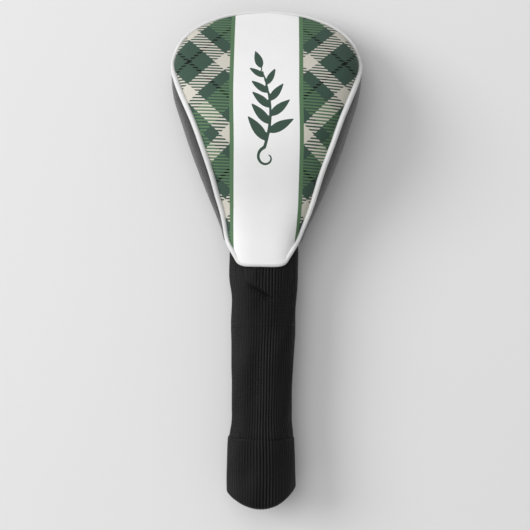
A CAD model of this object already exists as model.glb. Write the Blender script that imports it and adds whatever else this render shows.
import math

import bpy
import numpy as np
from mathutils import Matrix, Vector


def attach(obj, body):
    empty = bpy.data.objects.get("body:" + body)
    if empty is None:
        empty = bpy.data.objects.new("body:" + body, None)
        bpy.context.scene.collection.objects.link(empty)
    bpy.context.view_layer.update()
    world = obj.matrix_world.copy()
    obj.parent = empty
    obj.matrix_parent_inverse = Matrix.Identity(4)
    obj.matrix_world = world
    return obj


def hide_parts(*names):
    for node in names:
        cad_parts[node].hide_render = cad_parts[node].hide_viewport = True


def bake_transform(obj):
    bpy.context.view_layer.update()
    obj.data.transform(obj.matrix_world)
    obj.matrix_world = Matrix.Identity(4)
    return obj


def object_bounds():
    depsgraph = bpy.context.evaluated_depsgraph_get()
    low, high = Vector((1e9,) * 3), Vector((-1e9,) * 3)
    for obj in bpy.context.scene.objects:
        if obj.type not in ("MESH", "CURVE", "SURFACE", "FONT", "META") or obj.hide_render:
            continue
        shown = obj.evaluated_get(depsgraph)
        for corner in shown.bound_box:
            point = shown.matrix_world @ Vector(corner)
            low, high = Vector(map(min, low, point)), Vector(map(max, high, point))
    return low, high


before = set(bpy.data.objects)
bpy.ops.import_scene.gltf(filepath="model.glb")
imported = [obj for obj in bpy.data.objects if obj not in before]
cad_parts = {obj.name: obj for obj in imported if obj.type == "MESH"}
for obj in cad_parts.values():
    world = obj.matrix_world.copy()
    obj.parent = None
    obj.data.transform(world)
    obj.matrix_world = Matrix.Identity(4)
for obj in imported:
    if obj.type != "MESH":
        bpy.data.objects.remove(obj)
cad_low, cad_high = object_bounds()

# ---------------------------------------------------------------------------
# Driving sizes, in millimetres. Distances along the cover count from the cuff's tip.
# ---------------------------------------------------------------------------

MM = 0.001

# The padded shell. The panels' grids are finer towards their edges by CROWDING, and
# the gusset's cloth is measured along its grid's column GUSSET_GRAIN.
SHELL = 2.3
SEAM_PINCH = 0.6
SEAM_PINCH_REACH = 3.2
SIDE_PINCH_REACH = 2.4
NECK_END = 173.0
NECK_TUCK = 2.6
NECK_TUCK_REACH = 5.0
GUSSET_BULGE = 0.7
LOWER_SHARPNESS = 2.7
TOE_FLAT = 5.0
TOE_SEAM = (308.0, 320.0)
TONGUE_LEAN = -1.25
TONGUE_LEAN_ENDS = (168.0, 195.0)
HEAD_LEAN = 0.9
HEAD_LEAN_STARTS = (172.0, 200.0)
HEAD_LEAN_ENDS = (235.0, 275.0)
PANEL_ROWS = 300
PANEL_COLUMNS = 163
GUSSET_ROWS = 340
GUSSET_COLUMNS = 46
GUSSET_GRAIN = 20
BACK_COLUMNS = 121
CROWDING = 1.35

# The piping and the hem.
PIPING_R = 1.8
PIPING_TOE_R = 1.2
PIPING_NECK_R = 1.45
PIPING_SWELLS = (172.0, 215.0)
PIPING_THINS = (272.0, 300.0)
PIPING_PROUD = 0.4
CORE_R = 0.9
CROWN_AT = 262.0
TOE_REACH = 40.0
HEM_END = 160.1
HEM_R = 1.7
HEM_MERGE = (162.0, 173.0)
HEM_CORNER_AT = 162.3
SEAM_ROWS = 420
TUBE_SIDES = 20

# The knit sock and its cuff.
SOCK_Z = 23.3
SOCK_WALL = 2.2
WALL_STEP = 1.0
SOCK_START = 4.0
SOCK_TOP = 188.0
CREASE_AT = (-9.8, 145.8)
CREASE_RUN = (0.86, 0.51)
CREASE_DEPTH = 1.7
CREASE_REACH = 1.6
RIDGE_HEIGHT = 0.8
GATHER_DEPTH = 0.12
RIBS = 68
RIB_DEPTH = 0.55
RIB_SAMPLES = 10
COURSE = 1.5
SPLIT_AT = 121.0
CUFF_TOP = 46.5
CUFF_WALL = 2.3
CUFF_EDGE = 0.8
CUFF_FOLD = 2.6
CUFF_LOW = 1.4
RIM_RISE = 9.4
RIM_LEAN = 0.21
TACK_R = 0.4

# The print: a check that repeats every SETT, hatched at a slight slope. It moves back
# against the tongue's lean by PRINT_SHIFT times that lean.
STRIPE_HALF = 20.9
LINE_WIDTH = 2.6
SETT = 100.5
SETT_ANCHOR = 290.0
HATCH = 2.1
HATCH_SLOPE = 0.05
PRINT_SHIFT = 1.5
PRINT_EASES = (278.0, 300.0)
SPRIG_LOW = 234.0
SPRIG_HIGH = 297.5
LEAVES = 9

# Floor, sky and camera. VIEW_CENTRE is (x, distance, height) in millimetres, ROLL is in
# radians, and the other lengths are metres.
FLOOR_SIZE = 4.0
SKY = 0.42
SKY_SLOPE = 0.2
CAMERA_REACH = 1.0
VIEW_WIDTH = 0.3498
VIEW_CENTRE = (0.9, 159.7, 25.0)
ROLL = 0.01447

# Each light: its place and its size in metres, and its power in watts. A place counts from the
# floor at LIT_AT along the cover, which is also what the lights face.
LIT_AT = 190.0
LIT_HEIGHT = 0.02
LIGHTS = {
    "key": ((-2.0, 0.5, 1.6), 1.5, 36),
    "top": ((-0.4, 0.6, 2.5), 1.8, 19),
}

# Outline of the head in plan: distance and half width.
OUTLINE = [
    (156.0, 24.6), (166.0, 24.9), (175.0, 25.3), (183.0, 27.5), (191.0, 31.0), (203.0, 36.3),
    (216.0, 41.8), (236.0, 49.6), (255.5, 56.0), (268.5, 59.8), (279.0, 61.3), (288.0, 61.6),
    (295.0, 60.4), (303.1, 57.4), (312.4, 49.7), (319.4, 38.5), (323.9, 25.6), (326.0, 12.8),
    (326.6, 0.0),
]

# End of the tongue, from the hem's middle round its corner: half width and distance.
TONGUE = [
    (0.0, 160.1), (4.0, 160.1), (8.0, 160.12), (10.2, 160.2), (12.3, 160.6), (14.3, 161.5),
    (15.6, 162.9), (16.5, 164.5), (18.7, 168.1), (19.9, 170.2), (21.5, 173.1),
]

# Side profile of the head: distance, top, bottom, height of the widest line,
# squareness of the lower half, and where the piping seam lies as a share of the half width.
PROFILE = [
    (156.0, 46.2, 0.0, 23.3, 2.0, 0.56),
    (162.0, 46.4, 0.0, 23.3, 2.0, 0.64),
    (170.0, 46.8, -0.1, 23.3, 2.0, 0.80),
    (177.0, 47.3, -0.2, 23.4, 2.0, 0.900),
    (183.0, 48.1, -0.5, 23.6, 2.1, 0.900),
    (191.0, 49.8, -1.0, 24.0, 2.2, 0.872),
    (203.0, 53.4, -1.8, 25.2, 2.4, 0.846),
    (216.0, 59.4, -2.4, 26.6, 2.6, 0.822),
    (236.0, 67.9, -2.6, 28.0, 2.8, 0.832),
    (254.0, 69.3, -2.6, 28.5, 2.8, 0.862),
    (268.5, 65.6, -2.5, 28.0, 2.8, 0.905),
    (279.0, 61.0, -2.2, 27.4, 2.8, 0.950),
    (288.0, 56.0, -1.8, 26.8, 2.6, 0.985),
    (301.0, 46.0, 0.2, 24.9, 2.4, 0.998),
    (313.0, 35.2, 4.4, 22.9, 2.2, 0.999),
    (321.0, 27.4, 10.2, 21.6, 2.0, 0.999),
    (327.0, 21.8, 19.0, 20.5, 2.0, 0.999),
]
CROWN_SQUARENESS = 3.2

# Height of the seam between the gusset and the back panel.
BACK_SEAM = [(156.0, 9.0), (230.0, 9.0), (290.0, 9.4), (312.0, 10.8), (326.2, 12.0)]

# The sock: distance, reach to the left, reach to the right, half height. The cuff's outer face likewise.
SOCK = [
    (0.0, 20.0, 20.0, 19.8), (46.0, 21.3, 21.4, 20.7), (50.0, 20.8, 21.2, 20.4), (55.0, 20.1, 20.3, 20.0),
    (61.0, 19.8, 19.8, 19.8), (70.0, 19.8, 19.9, 19.8), (88.0, 20.3, 20.4, 20.0), (104.0, 20.7, 21.0, 20.2),
    (121.0, 21.0, 21.6, 20.4), (133.0, 20.9, 21.9, 20.5), (141.0, 21.2, 22.2, 20.6),
    (149.0, 22.4, 22.5, 20.7), (160.0, 22.8, 22.8, 20.9), (176.0, 22.4, 22.6, 20.9),
    (190.0, 21.6, 21.6, 20.6),
]
CUFF = [
    (0.0, 22.2, 23.4, 22.6), (10.0, 22.4, 23.4, 22.7), (18.0, 22.6, 23.1, 22.7), (26.0, 22.6, 22.8, 22.6),
    (35.0, 22.4, 22.5, 22.5), (42.0, 22.2, 22.3, 22.5), (47.0, 22.0, 22.1, 22.3), (52.0, 21.8, 21.8, 22.0),
]


def at(distance):
    """Y, in metres, at this distance from the cuff's tip."""
    return cad_low.y + distance * MM


def smooth(table, column=1):
    """A smooth function through one column of a table, by a natural cubic spline."""
    xs = np.array([row[0] for row in table], float)
    ys = np.array([row[column] for row in table], float)
    n = len(xs)
    gaps = np.diff(xs)
    matrix = np.eye(n)
    right = np.zeros(n)
    for i in range(1, n - 1):
        matrix[i, i - 1] = gaps[i - 1]
        matrix[i, i] = 2 * (gaps[i - 1] + gaps[i])
        matrix[i, i + 1] = gaps[i]
        right[i] = 6 * ((ys[i + 1] - ys[i]) / gaps[i] - (ys[i] - ys[i - 1]) / gaps[i - 1])
    bend = np.linalg.solve(matrix, right)

    def value(x):
        """The spline's value at x."""
        x = np.asarray(x, float)
        i = np.clip(np.searchsorted(xs, x) - 1, 0, n - 2)
        h = gaps[i]
        a = (xs[i + 1] - x) / h
        b = (x - xs[i]) / h
        return a * ys[i] + b * ys[i + 1] + ((a**3 - a) * bend[i] + (b**3 - b) * bend[i + 1]) * h * h / 6

    return value


top_of = smooth(PROFILE, 1)
bottom_of = smooth(PROFILE, 2)
widest_of = smooth(PROFILE, 3)
squareness_of = smooth(PROFILE, 4)
back_seam_of = smooth(BACK_SEAM)
sock_shape = [smooth(SOCK, column) for column in (1, 2, 3)]
cuff_shape = [smooth(CUFF, column) for column in (1, 2, 3)]


def outline_curve():
    """The outline as a fine line of (half width, distance) from the hem round to the toe's tip."""
    mirrored = [(d, -w) for d, w in reversed(OUTLINE[:-1])]
    points = np.array(OUTLINE + mirrored[:4], float)
    steps = np.concatenate([[0], np.cumsum(np.hypot(*np.diff(points, axis=0).T))])
    distance_at = smooth(np.column_stack([steps, points[:, 0]]).tolist())
    width_at = smooth(np.column_stack([steps, points[:, 1]]).tolist())
    t = np.linspace(0, steps[len(OUTLINE) - 1], 6000)
    return np.column_stack([np.maximum(width_at(t), 0.0), np.maximum.accumulate(distance_at(t))])


FINE_OUTLINE = outline_curve()


def width_of(distance):
    """Half width of the outline at a distance."""
    return np.interp(distance, FINE_OUTLINE[:, 1], FINE_OUTLINE[:, 0])


def seam_curve():
    """The piping seam in plan, from the hem's middle round the corner and up to the toe's tip."""
    sides = [(float(width_of(row[0])) * row[5], row[0]) for row in PROFILE if 175 < row[0] < 322]
    toe = [(width * 0.999, distance) for distance, width in OUTLINE if distance > 322]
    points = np.array(TONGUE + sides + toe + [(-x, d) for x, d in toe[-2::-1]], float)
    steps = np.concatenate([[0], np.cumsum(np.hypot(*np.diff(points, axis=0).T))])
    x_at = smooth(np.column_stack([steps, points[:, 0]]).tolist())
    d_at = smooth(np.column_stack([steps, points[:, 1]]).tolist())
    tip = steps[len(TONGUE) + len(sides) + len(toe) - 1]
    t = np.linspace(0, tip, 6000)
    return np.column_stack([np.maximum(x_at(t), 0.0), np.maximum.accumulate(d_at(t))])


FINE_SEAM = seam_curve()


def even_rows(fine, count):
    """Evenly spaced points along a fine line, and their outward directions in plan."""
    run = np.concatenate([[0], np.cumsum(np.hypot(*np.diff(fine, axis=0).T))])
    t = np.linspace(0, run[-1], count)
    points = np.column_stack([np.interp(t, run, fine[:, 0]), np.interp(t, run, fine[:, 1])])
    along = np.gradient(points, axis=0)
    along /= np.linalg.norm(along, axis=1, keepdims=True)
    return points, np.column_stack([along[:, 1], -along[:, 0]])


def ease(value, low, high):
    """0 below low, 1 above high, and smooth between."""
    share = np.clip((value - low) / (high - low), 0, 1)
    return share * share * (3 - 2 * share)


def tongue_lean(distance):
    """How far the tongue sits to one side of the middle, in millimetres."""
    return TONGUE_LEAN * (1 - ease(distance, *TONGUE_LEAN_ENDS))


def lean(distance):
    """How far the seam sits to one side: the tongue one way and the head the other."""
    head = HEAD_LEAN * ease(distance, *HEAD_LEAN_STARTS) * (1 - ease(distance, *HEAD_LEAN_ENDS))
    return tongue_lean(distance) + head


# ---------------------------------------------------------------------------
# Mesh helpers.
# ---------------------------------------------------------------------------


def new_object(name, points, faces, material):
    """A smooth-shaded mesh object from points in the frame, in metres, and its faces."""
    mesh = bpy.data.meshes.new(name)
    mesh.from_pydata(points, [], faces)
    mesh.validate()
    mesh.update()
    mesh.shade_smooth()
    mesh.materials.append(material)
    piece = bpy.data.objects.new(name, mesh)
    bpy.context.scene.collection.objects.link(piece)
    return piece


def in_frame(points):
    """Points given as (x, distance, z) in millimetres, in the frame in metres."""
    moved = np.array(points, float) * MM
    moved[..., 1] += cad_low.y
    return moved


def grid_faces(rows, columns, wrap_columns=False, wrap_rows=False):
    """Quads of a grid of points, closed on itself either way if asked."""
    faces = []
    for i in range(rows if wrap_rows else rows - 1):
        for j in range(columns if wrap_columns else columns - 1):
            a = i * columns + j
            b = i * columns + (j + 1) % columns
            c = ((i + 1) % rows) * columns + (j + 1) % columns
            d = ((i + 1) % rows) * columns + j
            faces.append((a, b, c, d))
    return faces


def grid_normals(points):
    """Unit normals of a grid of points, by the cross product of its two directions."""
    along = np.gradient(points, axis=0)
    across = np.gradient(points, axis=1)
    normals = np.cross(across, along)
    lengths = np.linalg.norm(normals, axis=2, keepdims=True)
    return normals / np.maximum(lengths, 1e-9)


def run_along(path):
    """Distance run along a path of points, from its first point."""
    return np.concatenate([[0], np.cumsum(np.linalg.norm(np.diff(path, axis=0), axis=1))])


def store_cloth(piece, across, along):
    """Where each point lies on the flat cloth, for the woven and printed materials."""
    store(piece, "cloth", np.stack([across, along, np.zeros_like(along)], axis=2).reshape(-1, 3))


def store(piece, name, values):
    """Keep a number or a vector for each point of a mesh, for its material to read."""
    values = np.asarray(values, np.float32)
    kind = "FLOAT_VECTOR" if values.ndim == 2 else "FLOAT"
    attribute = piece.data.attributes.new(name, kind, "POINT")
    attribute.data.foreach_set("vector" if values.ndim == 2 else "value", values.ravel())


def thicken(piece, thickness):
    """Give a surface its thickness, inwards."""
    solid = piece.modifiers.new("thickness", "SOLIDIFY")
    solid.thickness = thickness * MM
    solid.offset = -1
    solid.use_even_offset = False


def crisp_ring(piece, ring):
    """Keep the shading of one ring of a tube from running round its end."""
    for edge in piece.data.edges:
        if edge.vertices[0] in ring and edge.vertices[1] in ring:
            edge.use_edge_sharp = True


def settle(piece, body, slot, *nodes):
    """Say which body a piece rides on, what it stands for, and where its finish comes from."""
    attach(piece, body)
    if nodes:
        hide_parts(*nodes)
    return piece


def ripple(x, y, seed):
    """A smooth, repeatable unevenness between about -1 and 1."""
    total = 0.0
    for k in range(1, 5):
        turn = seed * 1.7 + k * 2.4
        along = x * (0.6 + 0.37 * k) * math.cos(turn)
        across = y * (0.5 + 0.41 * k) * math.sin(turn)
        total = total + np.sin(along + across + seed * k)
    return total / 4


# ---------------------------------------------------------------------------
# Materials.
# ---------------------------------------------------------------------------


class Shader:
    """Short forms for building one node material."""

    def __init__(self, name):
        self.material = bpy.data.materials.new(name)
        self.material.use_nodes = True
        self.tree = self.material.node_tree
        self.bsdf = self.tree.nodes["Principled BSDF"]

    def node(self, kind, **settings):
        """A new node with these settings."""
        made = self.tree.nodes.new(kind)
        for key, value in settings.items():
            setattr(made, key, value)
        return made

    def put(self, socket, value):
        """Link a node's output to a socket, or set a plain value on it."""
        if hasattr(value, "is_output"):
            self.tree.links.new(value, socket)
        else:
            socket.default_value = value

    def math(self, operation, a, b=0.0, c=0.0):
        """One step of arithmetic."""
        made = self.node("ShaderNodeMath", operation=operation)
        for socket, value in zip(made.inputs, (a, b, c)):
            self.put(socket, value)
        return made.outputs[0]

    def mix(self, share, a, b):
        """A colour between a and b."""
        made = self.node("ShaderNodeMix", data_type="RGBA")
        self.put(made.inputs[0], share)
        self.put(made.inputs[6], a)
        self.put(made.inputs[7], b)
        return made.outputs[2]

    def steps(self, value, stops):
        """Flat bands of colour: each stop is (where it starts, colour)."""
        made = self.node("ShaderNodeValToRGB")
        ramp = made.color_ramp
        ramp.interpolation = "CONSTANT"
        while len(ramp.elements) < len(stops):
            ramp.elements.new(0.5)
        for element, (position, tone) in zip(ramp.elements, stops):
            element.position = position
            element.color = tone
        self.put(made.inputs[0], value)
        return made.outputs[0]

    def attribute(self, name):
        """What store() kept on the mesh under this name."""
        return self.node("ShaderNodeAttribute", attribute_name=name)

    def split(self, vector):
        """The three parts of a vector."""
        made = self.node("ShaderNodeSeparateXYZ")
        self.put(made.inputs[0], vector)
        return made.outputs

    def noise(self, scale, detail):
        """Cloudy noise fixed to the object."""
        made = self.node("ShaderNodeTexNoise")
        made.inputs["Scale"].default_value = scale
        made.inputs["Detail"].default_value = detail
        self.put(made.inputs["Vector"], self.node("ShaderNodeTexCoord").outputs["Object"])
        return made.outputs[0]

    def bump(self, height, distance, strength, under=None):
        """A bump of this height, with the distance in millimetres."""
        made = self.node("ShaderNodeBump")
        made.inputs["Strength"].default_value = strength
        made.inputs["Distance"].default_value = distance * MM
        self.put(made.inputs["Height"], height)
        if under is not None:
            self.put(made.inputs["Normal"], under)
        return made.outputs[0]

    def finish(self, tone, roughness, normal=None, **values):
        """Connect the surface and hand the material over."""
        self.put(self.bsdf.inputs["Base Color"], tone)
        self.put(self.bsdf.inputs["Roughness"], roughness)
        if normal is not None:
            self.put(self.bsdf.inputs["Normal"], normal)
        for key, value in values.items():
            self.bsdf.inputs[key.replace("_", " ")].default_value = value
        return self.material


def colour(red, green, blue):
    """A linear colour from 8-bit display values."""
    linear = [((c / 255 + 0.055) / 1.055) ** 2.4 if c > 10 else c / 3294.6 for c in (red, green, blue)]
    return (*linear, 1.0)


WHITE = colour(239, 239, 239)
CREAM = colour(203, 199, 188)
DARK_GREEN = colour(60, 82, 71)
LIGHT_GREEN = colour(90, 121, 89)
BLACK_LINE = colour(3, 9, 6)


def weave(shader, pitch):
    """Height of a fine knitted face: small diagonal cells at this pitch, in millimetres."""
    place = shader.split(shader.attribute("cloth").outputs["Vector"])
    x = shader.math("MULTIPLY", place[0], math.tau / pitch)
    y = shader.math("MULTIPLY", place[1], math.tau / pitch)
    one = shader.math("SINE", shader.math("ADD", x, y))
    two = shader.math("SINE", shader.math("SUBTRACT", x, y))
    return shader.math("MULTIPLY", one, two)


def printed_material():
    """Print on the front panel: white centre stripe, green lines, diagonal check, and a leaf sprig."""
    s = Shader("printed_face")
    place = s.split(s.attribute("cloth").outputs["Vector"])
    x = s.math("ABSOLUTE", place[0])
    half = SETT / 2
    falling = s.math("DIVIDE", s.math("PINGPONG", s.math("ADD", x, place[1]), half), half)
    rising = s.math("DIVIDE", s.math("PINGPONG", s.math("SUBTRACT", x, place[1]), half), half)
    bands = [
        (0.0, BLACK_LINE), (0.028, DARK_GREEN), (0.333, CREAM), (0.591, DARK_GREEN), (0.801, LIGHT_GREEN),
    ]
    sloped = s.math("MULTIPLY_ADD", place[0], -HATCH_SLOPE, place[1])
    row = s.math("FRACT", s.math("DIVIDE", sloped, HATCH))
    which = s.math("GREATER_THAN", row, 0.5)
    check = s.mix(which, s.steps(falling, bands), s.steps(rising, bands))
    lined = s.mix(s.math("LESS_THAN", x, STRIPE_HALF + LINE_WIDTH), check, LIGHT_GREEN)
    striped = s.mix(s.math("LESS_THAN", x, STRIPE_HALF), lined, WHITE)
    sprig = s.math("GREATER_THAN", s.attribute("sprig").outputs["Fac"], 0.0)
    printed = s.mix(sprig, striped, DARK_GREEN)
    blotch = s.noise(60, 3)
    tone = s.math("MULTIPLY_ADD", blotch, 0.05, 0.975)
    shaded = s.node("ShaderNodeVectorMath", operation="SCALE")
    s.put(shaded.inputs[0], printed)
    s.put(shaded.inputs["Scale"], tone)
    grain = s.bump(weave(s, 0.75), 0.05, 0.5)
    soft = s.bump(s.noise(140, 3), 0.18, 0.35, grain)
    rough = s.math("MULTIPLY_ADD", s.noise(300, 2), 0.12, 0.62)
    return s.finish(shaded.outputs[0], rough, soft, Specular_IOR_Level=0.2)


def dark_face_material(name, tint):
    """Dark, slightly lustrous knit face of the neoprene on the gusset and back."""
    s = Shader(name)
    base = colour(*tint)
    lighter = colour(*(c * 1.25 for c in tint))
    tone = s.mix(s.noise(90, 3), base, lighter)
    grain = s.bump(weave(s, 0.8), 0.06, 0.6)
    soft = s.bump(s.noise(120, 3), 0.25, 0.4, grain)
    rough = s.math("MULTIPLY_ADD", s.noise(250, 2), 0.12, 0.34)
    return s.finish(tone, rough, soft, Specular_IOR_Level=0.5, Sheen_Weight=0.3, Sheen_Roughness=0.35)


def piping_material():
    """White coated bias fabric, with a faint diagonal weave."""
    s = Shader("piping_fabric")
    place = s.split(s.attribute("cloth").outputs["Vector"])
    slant = s.math("ADD", s.math("MULTIPLY", place[0], 9.0), s.math("MULTIPLY", place[1], 9.0))
    thread = s.math("SINE", slant)
    tone = s.mix(s.noise(180, 3), colour(225, 225, 225), colour(217, 217, 216))
    normal = s.bump(thread, 0.04, 0.35)
    rough = s.math("MULTIPLY_ADD", s.noise(320, 2), 0.12, 0.42)
    return s.finish(tone, rough, normal, Specular_IOR_Level=0.45)


def knit_material():
    """Black rib knit: rows of interlocking stitches on each rib."""
    s = Shader("rib_knit")
    place = s.split(s.attribute("cloth").outputs["Vector"])
    across = s.math("SUBTRACT", s.math("FRACT", place[0]), 0.5)
    slant = s.math("MULTIPLY", s.math("ABSOLUTE", across), 1.1)
    course = s.math("ADD", place[1], slant)
    loop = s.math("SINE", s.math("MULTIPLY", course, math.tau))
    strand = s.math("MULTIPLY", loop, s.math("COSINE", s.math("MULTIPLY", across, math.pi)))
    fuzz = s.noise(1500, 2)
    height = s.math("MULTIPLY_ADD", fuzz, 0.5, strand)
    normal = s.bump(height, 0.16, 0.75)
    deep = s.math("MULTIPLY_ADD", strand, 0.18, 0.5)
    tone = s.mix(deep, colour(2, 2, 2), colour(11, 11, 12))
    return s.finish(tone, 0.45, normal, Specular_IOR_Level=0.2)


def plain_cloth(name, tint, roughness=0.8, scale=400, sheen=0.2):
    """Material of the small or hidden cloth pieces: mottled tone and a fine uneven surface."""
    s = Shader(name)
    tone = s.mix(s.noise(scale, 3), colour(*tint), colour(*(min(255, c * 1.2 + 4) for c in tint)))
    normal = s.bump(s.noise(scale * 2.2, 3), 0.15, 0.5)
    return s.finish(tone, roughness, normal, Sheen_Weight=sheen, Sheen_Roughness=0.5)


def floor_material():
    """Pale, matt, faintly uneven studio surface."""
    s = Shader("pale_floor")
    tone = s.mix(s.noise(3, 2), colour(232, 232, 232), colour(229, 229, 229))
    return s.finish(tone, 0.9, Specular_IOR_Level=0.1)


# ---------------------------------------------------------------------------
# The head.
# ---------------------------------------------------------------------------


def crown_height(x, width, distance):
    """Height of the front panel's form at x, for sections of this half width and distance."""
    widest = widest_of(distance)
    rise = top_of(distance) - widest
    share = np.clip(np.abs(x) / np.maximum(width, 1e-6), 0, 1)
    n = CROWN_SQUARENESS
    return widest + rise * np.maximum(1 - share**n, 0) ** (1 / n)


def seam_height(x, distance):
    """Height of the piping seam; at the toe it lies on the widest line."""
    near_toe = ease(distance, *TOE_SEAM)
    share = np.clip(x / np.maximum(width_of(distance), 1.0), 0, 0.999) * (1 - near_toe) + 0.999 * near_toe
    rise = top_of(distance) - widest_of(distance)
    return widest_of(distance) + rise * (1 - share**CROWN_SQUARENESS) ** (1 / CROWN_SQUARENESS)


def cloth_coordinates(points):
    """Where each point of the panel's grid lies on the flat cloth: across from the middle, and along."""
    steps = np.hypot(np.diff(points[:, :, 0], axis=1), np.diff(points[:, :, 2], axis=1))
    spans = np.abs(np.diff(points[:, :, 0], axis=1))
    eased = np.maximum(spans, 0.8 * steps)
    close = np.clip((points[:, :1, 1] - 195.0) / 45.0, 0, 1)
    used = eased * close + steps * (1 - close)
    across = np.concatenate([np.zeros((len(points), 1)), np.cumsum(used, axis=1)], axis=1)
    middle = points.shape[1] // 2
    across = across - across[:, middle:middle + 1]
    crest = points[:, middle]
    fall = np.diff(crest[:, 2]) * (1 - 0.5 * ease(crest[1:, 1], *PRINT_EASES))
    run = np.hypot(np.diff(crest[:, 1]), fall)
    along = np.concatenate([[0], np.cumsum(run)])
    anchor = np.interp(SETT_ANCHOR, crest[:, 1], along)
    down = anchor - along + SETT / 2
    return across, np.repeat(down[:, None], points.shape[1], axis=1)


def leaf(x, y, root, angle, length, width):
    """How far inside a pointed leaf each place is, in millimetres (negative outside)."""
    c, s = math.cos(angle), math.sin(angle)
    u = (x - root[0]) * c + (y - root[1]) * s
    v = -(x - root[0]) * s + (y - root[1]) * c
    share = np.clip(u / length, 0, 1)
    half = width / 2 * np.sin(math.pi * share**0.75) ** 0.9
    return np.minimum(half - np.abs(v), np.minimum(u, length - u))


def stroke(x, y, points, widths):
    """How far inside a tapering line each place is."""
    best = np.full(x.shape, -99.0)
    for (a, b), (wa, wb) in zip(zip(points, points[1:]), zip(widths, widths[1:])):
        dx, dy = b[0] - a[0], b[1] - a[1]
        t = np.clip(((x - a[0]) * dx + (y - a[1]) * dy) / (dx * dx + dy * dy), 0, 1)
        gap = np.hypot(x - a[0] - t * dx, y - a[1] - t * dy)
        best = np.maximum(best, (wa + (wb - wa) * t) / 2 - gap)
    return best


def sprig_field(across, distance):
    """A printed leaf sprig that climbs the white stripe: a waving stem, paired leaves and a curl."""
    t = np.linspace(0, 1, 60)
    stem_x = -2.5 + 5.5 * np.sin(2.9 * t + 0.2) - 1.0 * t
    stem_y = SPRIG_LOW + (SPRIG_HIGH - SPRIG_LOW - 12) * t
    stem = list(zip(stem_x, stem_y))
    field = stroke(across, distance, stem, list(2.0 - 1.1 * t))
    for k in range(LEAVES):
        i = int((0.10 + 0.098 * k) * 59)
        side = 1 if k % 2 else -1
        slope = math.atan2(stem_y[i + 1] - stem_y[i], stem_x[i + 1] - stem_x[i])
        size = 1.0 - 0.05 * k
        angle = slope - side * math.radians(52 - 1.5 * k)
        field = np.maximum(field, leaf(across, distance, stem[i], angle, 19.5 * size, 6.4 * size))
    slope = math.atan2(stem_y[-1] - stem_y[-2], stem_x[-1] - stem_x[-2])
    field = np.maximum(field, leaf(across, distance, stem[-1], slope, 13.0, 5.2))
    turn = np.linspace(0, 1, 40)
    radius = 6.4 * (1 - 0.7 * turn)
    swing = math.pi / 2 + 0.25 + 5.4 * turn
    centre = (stem_x[0] + 1.5, SPRIG_LOW - 6.2)
    curl = list(zip(centre[0] + radius * np.cos(swing), centre[1] + radius * np.sin(swing)))
    return np.maximum(field, stroke(across, distance, curl, list(2.0 - 1.2 * turn)))


def panel_grid():
    """Points of the front panel's outer surface, as (x, distance, z) in millimetres."""
    fine = FINE_SEAM[(FINE_SEAM[:, 0] >= TOE_FLAT)]
    edge, _ = even_rows(fine, PANEL_ROWS)
    seam_x, distances = edge[:, 0], edge[:, 1]
    q = np.linspace(-1, 1, PANEL_COLUMNS)
    spread = np.sin(q * CROWDING) / math.sin(CROWDING)
    x = seam_x[:, None] * spread[None, :]
    z = crown_height(x, width_of(distances)[:, None], distances[:, None])
    y = np.repeat(distances[:, None], PANEL_COLUMNS, axis=1)
    return np.stack([x, y, z], axis=2)


def side_gap(points):
    """How far each point of a grid is from its two side edges, along the surface."""
    steps = np.linalg.norm(np.diff(points, axis=1), axis=2)
    run = np.concatenate([np.zeros((len(points), 1)), np.cumsum(steps, axis=1)], axis=1)
    return np.minimum(run, run[:, -1:] - run), run


def make_front_panel(material):
    """The printed panel, pinched and slightly puckered along its piping seam."""
    points = panel_grid()
    across, down = cloth_coordinates(points)
    normals = grid_normals(points)
    gap, _ = side_gap(points)
    bound = ease(points[:, :, 1], *HEM_MERGE)
    pinch = SEAM_PINCH * np.exp(-((gap / SEAM_PINCH_REACH) ** 2)) * bound
    pucker = 0.14 * np.exp(-gap / 7.0) * ripple(points[:, :, 1] * 0.8, points[:, :, 0] * 0.05, 3.0)
    swell = 0.35 * ripple(points[:, :, 0] * 0.05, points[:, :, 1] * 0.05, 1.0)
    lift = swell * np.clip(gap / 12, 0, 1) * bound + pucker * bound - pinch
    shaped = points + normals * lift[:, :, None]
    shaped[:, :, 0] += lean(points[:, :, 1])
    rows, columns = shaped.shape[:2]
    places = in_frame(shaped).reshape(-1, 3)
    piece = new_object("front_panel_shell", places, grid_faces(rows, columns), material)
    store_cloth(piece, across + PRINT_SHIFT * tongue_lean(points[:, :, 1]), down)
    store(piece, "sprig", sprig_field(across, points[:, :, 1]).ravel())
    thicken(piece, SHELL)
    return settle(piece, "head", "print", "front_panel")


def lower_height(x, distance):
    """Height of the lower shell above the floor at a place in plan."""
    width = np.maximum(width_of(distance), 1e-6)
    power = squareness_of(distance)
    share = np.clip(np.abs(x) / width, 0, 1)
    depth = widest_of(distance) - bottom_of(distance)
    return widest_of(distance) - depth * np.maximum(1 - share**power, 0) ** (1 / power)


def back_seam_places(outline, outward):
    """Half distance across, distance and height of the back seam, found inwards from the outline."""
    near = np.zeros(len(outline))
    far = np.full(len(outline), 18.0)
    wanted = back_seam_of(outline[:, 1])
    for _ in range(40):
        middle = (near + far) / 2
        place = outline - outward * middle[:, None]
        high = lower_height(place[:, 0], place[:, 1]) > wanted
        near = np.where(high, middle, near)
        far = np.where(high, far, middle)
    place = outline - outward * near[:, None]
    return np.maximum(place[:, 0], 0.0), place[:, 1], wanted


def settle_flat(z):
    """Heights near the floor, eased onto it."""
    soft = 0.5
    near = soft * np.log1p(np.exp(np.clip(z / soft, -40, 20)))
    return np.where(z > 20 * soft, z, near)


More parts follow.
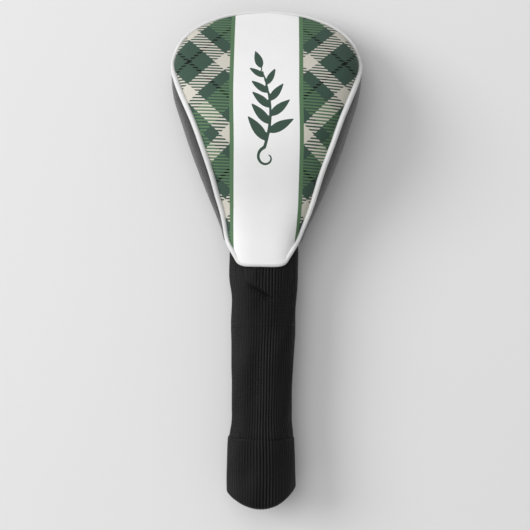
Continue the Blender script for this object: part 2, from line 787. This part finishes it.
def gusset_section(outline, outward, t):
    """Places on the gusset at a share t of its fall, from the piping seam to the back seam."""
    width, distance = outline[:, 0], outline[:, 1]
    seam_x = np.minimum(np.interp(distance, FINE_SEAM[:, 1], FINE_SEAM[:, 0]), width)
    seam_z = seam_height(seam_x, distance)
    back_x, back_d, back_z = back_seam_places(outline, outward)
    widest = widest_of(distance)
    z = seam_z + (back_z - seam_z) * t
    rise = np.maximum(seam_z - widest, 1e-3)
    above = np.clip((z - widest) / rise, 0, 1) ** CROWN_SQUARENESS
    below = np.clip((widest - z) / np.maximum(widest - back_z, 1e-3), 0, 1) ** LOWER_SHARPNESS
    x = width + (seam_x - width) * above + (back_x - width) * below
    y = distance + (back_d - distance) * below
    bulge = GUSSET_BULGE * math.sin(math.pi * t)
    return np.column_stack([x + outward[:, 0] * bulge, y + outward[:, 1] * bulge, z])


def gusset_side():
    """Grid of the right side of the gusset, evenly spaced down each section."""
    outline, outward = even_rows(FINE_OUTLINE[FINE_OUTLINE[:, 1] >= NECK_END], GUSSET_ROWS)
    fine = np.stack([gusset_section(outline, outward, t) for t in np.linspace(0, 1, 90)], axis=1)
    _, run = side_gap(fine)
    grid = np.empty((GUSSET_ROWS, GUSSET_COLUMNS, 3))
    for i, (line, steps) in enumerate(zip(fine, run)):
        wanted = np.linspace(0, steps[-1], GUSSET_COLUMNS)
        for axis in range(3):
            grid[i, :, axis] = np.interp(wanted, steps, line[:, axis])
    return grid


def neck_tuck(points):
    """How far the neck's end of the shell turns in to meet the sock."""
    near = np.clip(1 - (points[:, :, 1] - NECK_END) / NECK_TUCK_REACH, 0, 1)
    return NECK_TUCK * near**2


def make_gusset(material):
    """One strip from the neck, round the toe, and back to the neck on the other side."""
    right = gusset_side()
    left = right[::-1][1:] * np.array([-1.0, 1.0, 1.0])
    points = np.concatenate([right, left], axis=0)
    normals = grid_normals(points)
    gap, run = side_gap(points)
    pinch = SEAM_PINCH * np.exp(-((gap / SIDE_PINCH_REACH) ** 2))
    along = run_along(points[:, GUSSET_GRAIN])
    pucker = 0.07 * np.exp(-gap / 4.0) * ripple(along[:, None] * 0.7, run * 0.1, 5.0)
    swell = 0.3 * ripple(along[:, None] * 0.05, run * 0.07, 2.0) * np.clip(gap / 8, 0, 1)
    lift = swell + pucker - pinch - neck_tuck(points)
    shaped = points + normals * lift[:, :, None]
    shaped[:, :, 2] = settle_flat(shaped[:, :, 2])
    rows, columns = shaped.shape[:2]
    shaped[:, :, 0] += lean(points[:, :, 1]) * np.linspace(1, 0, columns)
    places = in_frame(shaped).reshape(-1, 3)
    piece = new_object("side_gusset_strip", places, grid_faces(rows, columns), material)
    store_cloth(piece, np.repeat(along[:, None], columns, axis=1), run)
    thicken(piece, SHELL)
    return settle(piece, "head", "gusset", "side_gusset")


def make_back(material):
    """The back panel, flat where the cover rests."""
    outline, outward = even_rows(FINE_OUTLINE[FINE_OUTLINE[:, 1] >= NECK_END], GUSSET_ROWS)
    edge_x, edge_d, _ = back_seam_places(outline, outward)
    kept = edge_x >= TOE_FLAT
    q = np.linspace(-1, 1, BACK_COLUMNS)
    spread = np.sin(q * CROWDING) / math.sin(CROWDING)
    x = edge_x[kept, None] * spread[None, :]
    y = np.repeat(edge_d[kept, None], BACK_COLUMNS, axis=1)
    points = np.stack([x, y, lower_height(x, y)], axis=2)
    normals = -grid_normals(points)
    gap, run = side_gap(points)
    lift = -SEAM_PINCH * np.exp(-((gap / SIDE_PINCH_REACH) ** 2)) - neck_tuck(points)
    shaped = points + normals * lift[:, :, None]
    shaped[:, :, 2] = settle_flat(shaped[:, :, 2])
    faces = [face[::-1] for face in grid_faces(*shaped.shape[:2])]
    piece = new_object("back_panel_shell", in_frame(shaped).reshape(-1, 3), faces, material)
    store_cloth(piece, run, points[:, :, 1])
    thicken(piece, SHELL)
    return settle(piece, "head", "back", "back_panel")


def sweep_tube(name, path, radius, around, material):
    """A round tube along a path of points in millimetres; radius may vary along it."""
    count = len(path)
    tangents = np.gradient(path, axis=0)
    tangents /= np.linalg.norm(tangents, axis=1, keepdims=True)
    side = np.cross(tangents[0], (0, 0, 1.0))
    side /= np.linalg.norm(side)
    rings = []
    angles = np.linspace(0, math.tau, around, endpoint=False)
    for place, tangent, size in zip(path, tangents, radius):
        side = side - tangent * (side @ tangent)
        side /= np.linalg.norm(side)
        other = np.cross(tangent, side)
        rings.append(place + size * (np.cos(angles)[:, None] * side + np.sin(angles)[:, None] * other))
    points = np.array(rings)
    faces = grid_faces(count, around, wrap_columns=True)
    faces.append(tuple(range(around))[::-1])
    faces.append(tuple((count - 1) * around + k for k in range(around)))
    piece = new_object(name, in_frame(points).reshape(-1, 3), faces, material)
    for end in (0, count - 1):
        crisp_ring(piece, range(end * around, (end + 1) * around))
    turn = np.repeat(angles[None, :] * np.mean(radius), count, axis=0)
    store_cloth(piece, np.repeat(run_along(path)[:, None], around, axis=1), turn)
    return piece


def seam_path():
    """Centre line of half of the piping and hem, from the hem's middle to the toe's tip, and its radius."""
    edge, _ = even_rows(FINE_SEAM, SEAM_ROWS)
    x, distance = edge[:, 0], edge[:, 1]
    spot = np.column_stack([x, distance, seam_height(x, distance)])
    inside = [np.zeros(SEAM_ROWS), np.minimum(distance, CROWN_AT), widest_of(distance) - 2.0]
    proud = spot - np.column_stack(inside)
    proud[:, 1] *= np.clip((distance - CROWN_AT) / TOE_REACH, 0, 1)
    proud /= np.linalg.norm(proud, axis=1, keepdims=True)
    bound = ease(distance, *HEM_MERGE)[:, None]
    sewn = spot + proud * PIPING_PROUD
    rolled = spot - np.array([0.0, 0.0, HEM_R - 0.05])
    full = PIPING_NECK_R + (PIPING_R - PIPING_NECK_R) * ease(distance, *PIPING_SWELLS)
    full = full + (PIPING_TOE_R - PIPING_R) * ease(distance, *PIPING_THINS)
    radius = HEM_R + (full - HEM_R) * bound[:, 0]
    return rolled + (sewn - rolled) * bound, radius


def both_sides(path, radius, from_toe):
    """A half path joined to its mirror image, at the toe's tip or at the hem's middle."""
    mirror = path * np.array([-1.0, 1.0, 1.0])
    if from_toe:
        joined = np.concatenate([path, mirror[::-1][1:]])
        size = np.concatenate([radius, radius[::-1][1:]])
    else:
        joined = np.concatenate([path[::-1], mirror[1:]])
        size = np.concatenate([radius[::-1], radius[1:]])
    joined[:, 0] += lean(joined[:, 1])
    return joined, size


def make_piping(material, core_material):
    """The round piping with the cord inside it, from one corner of the tongue round the toe to the other."""
    path, radius = seam_path()
    turn = int(np.argmax(path[:, 1] >= HEM_CORNER_AT))
    path, radius = both_sides(path[turn:], radius[turn:], True)
    run = run_along(path)
    ends = np.minimum(run, run[-1] - run)
    uneven = 0.02 * ripple(run * 0.4, run * 0.1, 4.0) * np.clip(ends / 20.0, 0, 1)
    piece = sweep_tube("piping_round", path, radius * (1 + uneven), TUBE_SIDES, material)
    settle(piece, "head", "piping", "piping_sleeve")
    inner = slice(6, -6, 3)
    core = sweep_tube("piping_core", path[inner], np.full(len(path[inner]), CORE_R), 8, core_material)
    settle(core, "head", "cord", "piping_cord")


def make_hem(material):
    """The rolled hem at the end of the tongue; the piping runs into it at both corners."""
    path, radius = seam_path()
    turn = int(np.argmax(path[:, 1] >= HEM_CORNER_AT))
    path, radius = both_sides(path[:turn + 1], radius[:turn + 1], False)
    piece = sweep_tube("hem_roll", path, radius, TUBE_SIDES, material)
    return settle(piece, "head", "piping", "hem_binding")


# ---------------------------------------------------------------------------
# The knit sock and its cuff.
# ---------------------------------------------------------------------------


def rib_groove(angle, distance):
    """Depth of the rib pattern, 0 on a rib and 1 in a groove."""
    wander = 0.014 * np.sin(distance * 0.045 + angle) + 0.009 * np.sin(distance * 0.13 + 3 * angle)
    fullness = 1 + 0.35 * np.sin(7 * angle + 0.08 * distance) * np.sin(3 * angle - 0.05 * distance)
    return fullness * (1 - np.abs(np.sin((angle + wander) * RIBS / 2)) ** 0.75)


def sock_dents(x, distance, upper):
    """Soft gathers under the hem and a slanting crease, in millimetres inwards; only on the upper side."""
    fade = np.exp(-(((distance - HEM_END + 3) / 8.0) ** 2)) * upper
    gathers = GATHER_DEPTH * fade * (1 + np.sin(x * 1.35 + 0.6 * np.sin(x * 0.4)))
    right, down = x - CREASE_AT[0], CREASE_AT[1] - distance
    along = right * CREASE_RUN[0] + down * CREASE_RUN[1]
    off = down * CREASE_RUN[0] - right * CREASE_RUN[1]
    crease = CREASE_DEPTH * np.exp(-((off / CREASE_REACH) ** 2))
    crease = crease * np.exp(-(((along - 9.0) / 8.5) ** 4)) * upper
    ridge = RIDGE_HEIGHT * np.exp(-(((off + 3.4) / 2.4) ** 2))
    ridge = ridge * np.exp(-(((along - 8.0) / 9.0) ** 2)) * upper
    return gathers + crease - ridge


def knit_shell(name, profile, shape, material, rim=False):
    """A closed knit tube. The profile is a closed loop of (distance, inset, how much it follows the rim)."""
    profile = np.array(profile, float)
    count = len(profile)
    around = RIBS * RIB_SAMPLES
    angle = np.linspace(0, math.tau, around, endpoint=False)[None, :]
    slope = np.roll(profile, -1, axis=0)[:, :2] - np.roll(profile, 1, axis=0)[:, :2]
    slope /= np.maximum(np.linalg.norm(slope, axis=1, keepdims=True), 1e-9)
    outward_d, outward_r = -slope[:, 1], slope[:, 0]
    cosine, sine = np.cos(angle), np.sin(angle)
    rise = RIM_RISE * np.abs(cosine) ** 2.2 * (1 + RIM_LEAN * cosine)
    distance = profile[:, :1] + profile[:, 2:3] * (rise if rim else 0.0)
    depth = RIB_DEPTH * rib_groove(angle, distance)
    inset = profile[:, 1:2] + depth * outward_r[:, None]
    left, right, high = (part(distance) for part in shape)
    slack = 0.4 * ripple(cosine * 1.6, distance * 0.16 + sine * 1.3, 5.0)
    x = (np.where(cosine < 0, left, right) - inset + slack) * cosine
    z = (high - inset + slack) * sine
    upper = np.clip(sine * 2, 0, 1) * (outward_r[:, None] > 0.3)
    if not rim:
        dent = sock_dents(x, distance, upper)
        x = x - dent * cosine
        z = z - dent * sine
    points = np.stack([x, distance - depth * outward_d[:, None], SOCK_Z + z], axis=2)
    faces = grid_faces(count, around, wrap_columns=True, wrap_rows=True)
    piece = new_object(name, in_frame(points).reshape(-1, 3), faces, material)
    wale = np.repeat(angle * RIBS / math.tau, count, axis=0)
    store_cloth(piece, wale, np.repeat(run_along(profile[:, :2])[:, None], around, axis=1) / COURSE)
    return piece


def wall_loop(start, end, wall, step):
    """A closed loop round a plain stretch of knit: out along its outer face and back along its inner one."""
    count = max(2, int(round((end - start) / step)) + 1)
    outer = [(d, 0.0, 0.0) for d in np.linspace(start, end, count)]
    inner = [(d, wall, 0.0) for d in np.linspace(end, start, count // 3 + 2)]
    return outer + inner


def make_sock_upper(material):
    """The sock from inside the neck to the split, which bends up with sock_bend."""
    loop = wall_loop(SPLIT_AT, SOCK_TOP, SOCK_WALL, WALL_STEP)
    piece = knit_shell("knit_sock_upper", loop, sock_shape, material)
    crisp_ring(piece, range(RIBS * RIB_SAMPLES))
    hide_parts("knit_sock_top", "knit_sock_middle")
    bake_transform(piece)
    return piece


def make_sock_lower(material):
    """The sock from the split to inside the cuff, which turns sideways with sock_sway."""
    low = SOCK_START + RIM_RISE
    loop = wall_loop(low, SPLIT_AT, SOCK_WALL, WALL_STEP)
    piece = knit_shell("knit_sock_end", loop, sock_shape, material)
    around = RIBS * RIB_SAMPLES
    last = int(round((SPLIT_AT - low) / WALL_STEP)) * around
    crisp_ring(piece, range(last, last + around))
    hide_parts("knit_sock_lower")
    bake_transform(piece)
    return piece


def cuff_loop():
    """Loop of the turned-up cuff: over its top edge, down its outer face, round the fold and up inside."""
    edge, fold, low = CUFF_EDGE, CUFF_FOLD, CUFF_LOW
    loop = []
    for turn in np.linspace(0, math.pi, 7):
        loop.append((CUFF_TOP - edge + edge * math.sin(turn), edge - edge * math.cos(turn), 0.0))
    loop = loop[::-1]
    for d in np.linspace(CUFF_TOP - edge - 0.8, low + fold, 50):
        loop.append((d, 0.0, 1 - d / CUFF_TOP))
    for turn in np.linspace(0, math.pi, 12)[1:]:
        loop.append((low + fold - fold * math.sin(turn), fold - fold * math.cos(turn), 0.95))
    for d in np.linspace(low + fold + 1.5, low + fold + 8, 6):
        loop.append((d, 2 * fold, 0.9))
    for d in np.linspace(low + fold + 8, low + fold + 1.0, 4):
        loop.append((d, 2 * fold - 0.5, 0.9))
    loop.append((low + fold + 0.4, CUFF_WALL + 0.4, 0.93))
    for d in np.linspace(low + fold + 1.0, CUFF_TOP - 9.0, 12):
        loop.append((d, CUFF_WALL, (1 - d / CUFF_TOP) * 0.97))
    loop.append((CUFF_TOP - edge - 1.0, 2 * edge, 0.0))
    return loop[::-1]


def make_cuff(material):
    """The turned-up cuff, whose rim rises at both sides."""
    piece = knit_shell("sock_cuff_turned", cuff_loop(), cuff_shape, material, rim=True)
    return settle(piece, "sock_end", "knit", "sock_cuff")


def make_tacks(material):
    """Four short bar tacks that hold the cuff's upper edge to the sock."""
    run = np.linspace(-3.0, 3.0, 9)
    distance = CUFF_TOP + run
    parts = []
    for turn in (45, 135, 225, 315):
        across, up = math.cos(math.radians(turn)), math.sin(math.radians(turn))
        reach = sock_shape[1](distance) if across > 0 else sock_shape[0](distance)
        proud = 0.55 * (1 - ease(run, -0.6, 0.8)) - 0.25
        height = SOCK_Z + (sock_shape[2](distance) + proud) * up
        path = np.column_stack([(reach + proud) * across, distance, height])
        parts.append(sweep_tube("cuff_tack_%d" % turn, path, np.full(len(run), TACK_R), 8, material))
    for part in parts:
        settle(part, "sock_end", "thread", "cuff_tacks")


# ---------------------------------------------------------------------------
# Carried-over solids, floor, light and camera.
# ---------------------------------------------------------------------------


def dress_nodes():
    """Give every carried-over solid its own cloth, thread or elastic material."""
    fleece = plain_cloth("fleece_pile", (52, 52, 55), 0.95, 260, 0.6)
    thread = plain_cloth("spun_thread", (26, 26, 27), 0.7, 900, 0.2)
    finishes = {
        "front_lining": fleece,
        "back_lining": fleece,
        "care_label": plain_cloth("label_satin", (226, 226, 222), 0.5, 700, 0.1),
        "neck_tape": plain_cloth("woven_tape", (24, 24, 25), 0.8, 700),
        "neck_thread": thread,
        "cuff_elastic": plain_cloth("covered_elastic", (38, 38, 38), 0.75, 600),
    }
    for name, material in finishes.items():
        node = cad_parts[name]
        node.data.materials.clear()
        node.data.materials.append(material)


def make_floor(material):
    """A plain square floor."""
    half = FLOOR_SIZE / 2
    corners = [(-half, -half, 0), (half, -half, 0), (half, half, 0), (-half, half, 0)]
    mesh = bpy.data.meshes.new("floor")
    mesh.from_pydata(corners, [], [(0, 1, 2, 3)])
    mesh.materials.append(material)
    floor = bpy.data.objects.new("floor", mesh)
    bpy.context.scene.collection.objects.link(floor)


def area_light(name, place, target, size, power):
    """A round soft light that faces a target."""
    light = bpy.data.lights.new(name, "AREA")
    light.shape = "DISK"
    light.size = size
    light.energy = power
    lamp = bpy.data.objects.new(name, light)
    lamp.location = place
    lamp.rotation_euler = (Vector(target) - Vector(place)).to_track_quat("-Z", "Y").to_euler()
    bpy.context.scene.collection.objects.link(lamp)


def make_lights():
    """A large soft light low on the left, a weaker one overhead, and a sky brighter on the left."""
    middle = (0, at(LIT_AT), LIT_HEIGHT)
    for name, ((x, y, z), size, power) in LIGHTS.items():
        area_light(name, (x, middle[1] + y, z), middle, size, power)
    world = bpy.data.worlds.new("studio")
    world.use_nodes = True
    tree = world.node_tree
    background = tree.nodes["Background"]
    background.inputs["Color"].default_value = (1, 1, 1, 1)
    place = tree.nodes.new("ShaderNodeTexCoord")
    split = tree.nodes.new("ShaderNodeSeparateXYZ")
    slope = tree.nodes.new("ShaderNodeMath")
    slope.operation = "MULTIPLY_ADD"
    slope.inputs[1].default_value = -SKY_SLOPE
    slope.inputs[2].default_value = SKY
    tree.links.new(place.outputs["Generated"], split.inputs[0])
    tree.links.new(split.outputs[0], slope.inputs[0])
    tree.links.new(slope.outputs[0], background.inputs["Strength"])
    bpy.context.scene.world = world
    bpy.context.scene.view_settings.view_transform = "Standard"


def make_camera():
    """Straight above the cover, with a slight roll."""
    x, distance, z = VIEW_CENTRE
    camera = bpy.data.cameras.new("camera")
    camera.sensor_width = 36
    camera.lens = camera.sensor_width * CAMERA_REACH / VIEW_WIDTH
    camera.clip_start = 0.01
    eye = bpy.data.objects.new("camera", camera)
    eye.location = (x * MM, at(distance), z * MM + CAMERA_REACH)
    eye.rotation_euler = (0, 0, ROLL)
    bpy.context.scene.collection.objects.link(eye)
    bpy.context.scene.camera = eye


make_camera()
make_lights()
make_floor(floor_material())
dress_nodes()

make_front_panel(printed_material())
make_gusset(dark_face_material("gusset_face", (20, 20, 22)))
make_back(dark_face_material("back_face", (28, 28, 30)))
piping_cloth = piping_material()
make_piping(piping_cloth, plain_cloth("filler_cord", (205, 205, 200), 0.8, 500))
make_hem(piping_cloth)
knit = knit_material()
make_sock_upper(knit)
make_sock_lower(knit)
make_cuff(knit)
make_tacks(plain_cloth("tack_thread", (7, 7, 7), 0.8, 900, 0.0))
